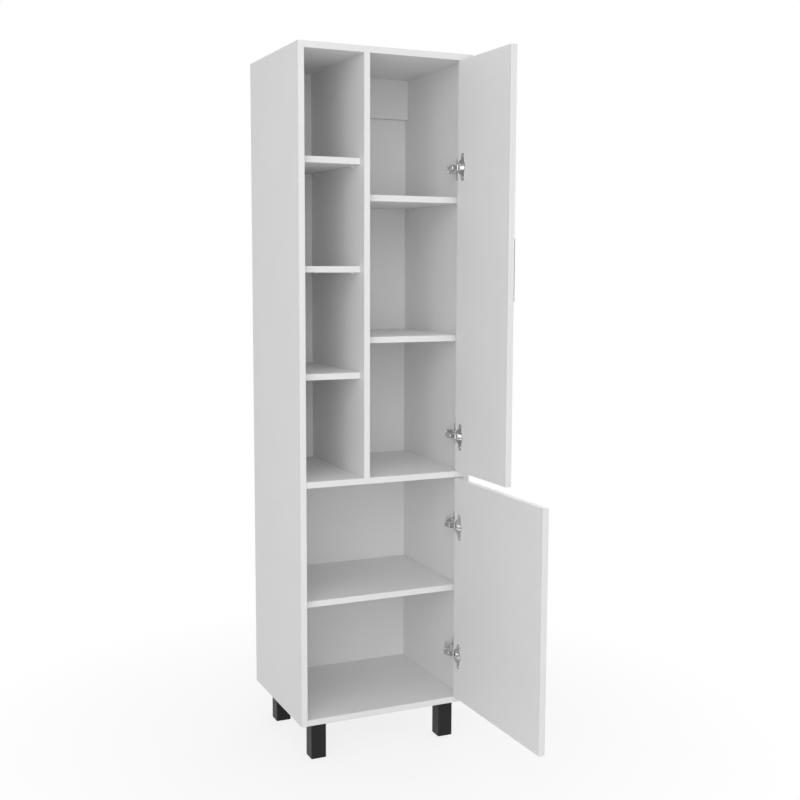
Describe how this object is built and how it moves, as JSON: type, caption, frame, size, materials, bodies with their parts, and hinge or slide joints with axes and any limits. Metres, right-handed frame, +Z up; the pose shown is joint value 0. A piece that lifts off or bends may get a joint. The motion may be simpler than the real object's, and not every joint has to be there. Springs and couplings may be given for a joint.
{
  "type": "linen cabinet",
  "caption": "Tall white linen cabinet on dark square legs, open cubbies beside a shelved column, inset upper and lower doors on concealed hinges.",
  "frame": {"origin": "on the floor, under the middle of the carcass footprint", "axes": "+X right, +Y to the back, +Z up; the doors are on the front, which faces -Y"},
  "size_m": [0.459, 0.7694, 1.7],
  "materials": {
    "white_board": "white melamine facing, fine satin",
    "back_board": "white lacquered hardboard",
    "leg_wood": "black satin paint",
    "glide_plastic": "moulded, matt",
    "dowel_wood": "bare beech",
    "handle_metal": "satin nickel look",
    "hinge_nickel": "bright nickel plate",
    "fastener_steel": "zinc plated"
  },
  "bodies": {
    "carcass": {"back_panel": "back_board", "back_rail": "white_board", "base_shelf": "white_board", "bottom_panel": "white_board", "cam_bolts": "fastener_steel", "cam_locks": "fastener_steel", "cubby_shelf_1": "white_board", "cubby_shelf_2": "white_board", "cubby_shelf_3": "white_board", "hinge_arm_lower_bottom": "hinge_nickel", "hinge_arm_lower_top": "hinge_nickel", "hinge_arm_upper_bottom": "hinge_nickel", "hinge_arm_upper_top": "hinge_nickel", "hinge_plate_lower_bottom": "hinge_nickel", "hinge_plate_lower_top": "hinge_nickel", "hinge_plate_upper_bottom": "hinge_nickel", "hinge_plate_upper_top": "hinge_nickel", "left_side_panel": "white_board", "leg_back_left": "leg_wood", "leg_back_right": "leg_wood", "leg_bolts": "fastener_steel", "leg_front_left": "leg_wood", "leg_front_right": "leg_wood", "leg_glides": "glide_plastic", "middle_panel": "white_board", "right_side_panel": "white_board", "shelf_pins": "fastener_steel", "top_panel": "white_board", "upper_shelf_1": "white_board", "upper_shelf_2": "white_board", "vertical_divider": "white_board", "wood_dowels": "dowel_wood"},
    "upper_outer_links": {"outer_link_upper_top": "hinge_nickel", "outer_link_upper_bottom": "hinge_nickel"},
    "upper_inner_links": {"inner_link_upper_top": "hinge_nickel", "inner_link_upper_bottom": "hinge_nickel"},
    "lower_outer_links": {"outer_link_lower_top": "hinge_nickel", "outer_link_lower_bottom": "hinge_nickel"},
    "lower_inner_links": {"inner_link_lower_top": "hinge_nickel", "inner_link_lower_bottom": "hinge_nickel"},
    "upper_door_leaf": {"upper_door": "white_board", "upper_handle": "handle_metal", "hinge_cup_upper_top": "hinge_nickel", "hinge_cup_upper_bottom": "hinge_nickel"},
    "lower_door_leaf": {"lower_door": "white_board", "lower_handle": "handle_metal", "hinge_cup_lower_top": "hinge_nickel", "hinge_cup_lower_bottom": "hinge_nickel"}
  },
  "joints": [
    {"name": "upper_outer_link_turn", "type": "hinge", "parent": "carcass", "child": "upper_outer_links", "pos_m": [0.17123, -0.15611, 0], "axis": [0, 0, 1], "range_deg": [-3.6, 63.66]},
    {"name": "upper_door_turn", "type": "hinge", "parent": "upper_outer_links", "child": "upper_door_leaf", "pos_m": [0.17984, -0.18485, 0], "axis": [0, 0, 1], "range_deg": [-154.36, 8.5]},
    {"name": "upper_inner_link_turn", "type": "hinge", "parent": "carcass", "child": "upper_inner_links", "pos_m": [0.17518, -0.16894, 0], "axis": [0, 0, 1], "range_deg": [-4.3, 76.37]},
    {"name": "lower_outer_link_turn", "type": "hinge", "parent": "carcass", "child": "lower_outer_links", "pos_m": [0.17123, -0.15611, 0], "axis": [0, 0, 1], "range_deg": [-3.6, 63.66]},
    {"name": "lower_door_turn", "type": "hinge", "parent": "lower_outer_links", "child": "lower_door_leaf", "pos_m": [0.17984, -0.18485, 0], "axis": [0, 0, 1], "range_deg": [-154.36, 8.5]},
    {"name": "lower_inner_link_turn", "type": "hinge", "parent": "carcass", "child": "lower_inner_links", "pos_m": [0.17518, -0.16894, 0], "axis": [0, 0, 1], "range_deg": [-4.3, 76.37]}
  ],
  "couplings": [
    {"joint": "upper_outer_link_turn", "follows": "upper_door_turn", "ratio": -0.41176},
    {"joint": "upper_inner_link_turn", "follows": "upper_door_turn", "ratio": -0.49412},
    {"joint": "lower_outer_link_turn", "follows": "lower_door_turn", "ratio": -0.41176},
    {"joint": "lower_inner_link_turn", "follows": "lower_door_turn", "ratio": -0.49412}
  ]
}
